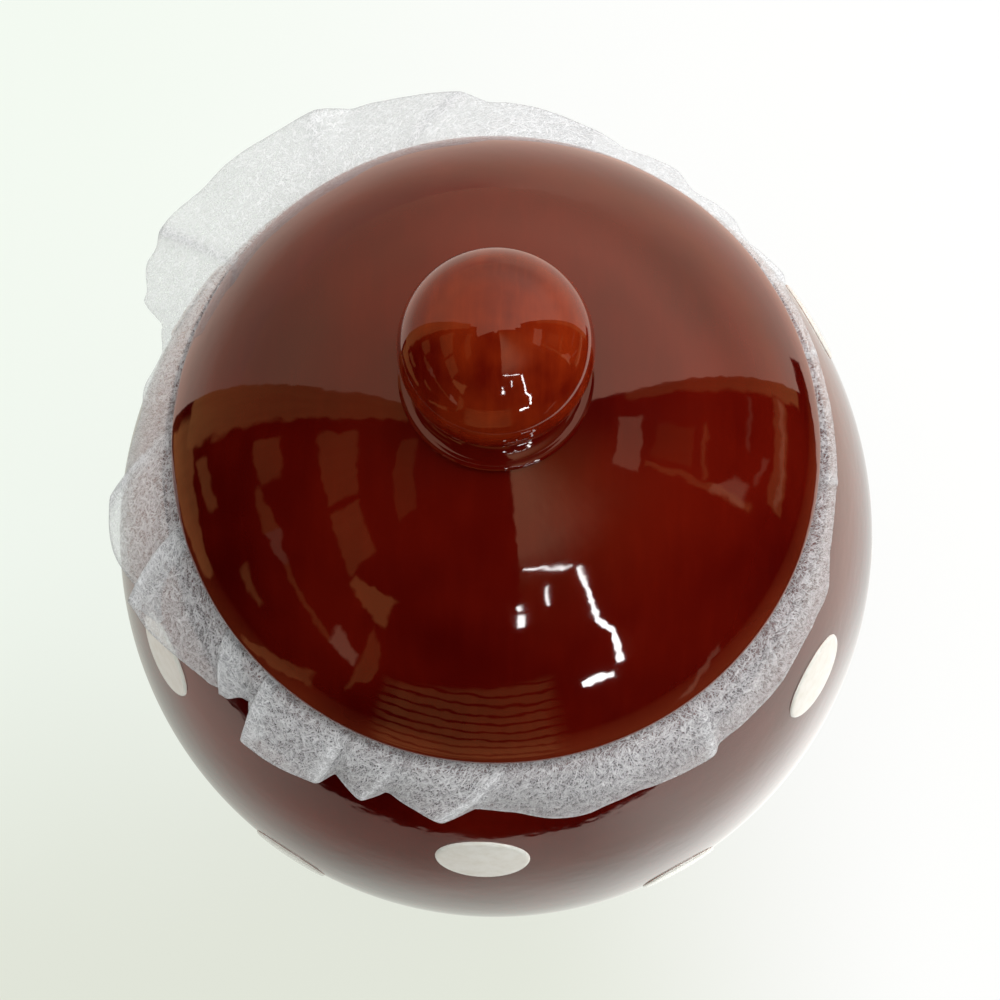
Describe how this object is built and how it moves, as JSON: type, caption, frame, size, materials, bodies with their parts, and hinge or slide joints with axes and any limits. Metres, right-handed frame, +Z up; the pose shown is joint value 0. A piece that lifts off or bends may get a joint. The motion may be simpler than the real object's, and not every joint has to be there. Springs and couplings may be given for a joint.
{
  "type": "lidded canister",
  "caption": "Egg-shaped glazed ceramic canister with white dots, a domed lift-off lid with a ball knob, and a thin ruffled sheet packed between lid and jar.",
  "frame": {"origin": "centre of the foot ring, on the surface the jar stands on", "axes": "+Z up along the jar's axis, -Y towards the viewer of the picture, +X to the viewer's right"},
  "size_m": [0.186, 0.185, 0.2504],
  "materials": {
    "body_glaze": "deep red-brown gloss glaze",
    "knob_glaze": "red-brown gloss glaze, slightly thinner and more orange",
    "dot_glaze": "off-white gloss glaze, slightly raised",
    "sheet_fibre": "matt white non-woven fibre"
  },
  "bodies": {
    "jar": {"jar": "body_glaze"},
    "sheet": {"packing_sheet": "sheet_fibre"},
    "lid": {"lid": "body_glaze", "knob": "knob_glaze"}
  },
  "joints": [
    {"name": "sheet_lift", "type": "slide", "parent": "jar", "child": "sheet", "axis": [0, 0, 1], "range_m": [0, 0.06]},
    {"name": "lid_lift", "type": "slide", "parent": "sheet", "child": "lid", "axis": [0, 0, 1], "range_m": [0, 0.1]}
  ]
}
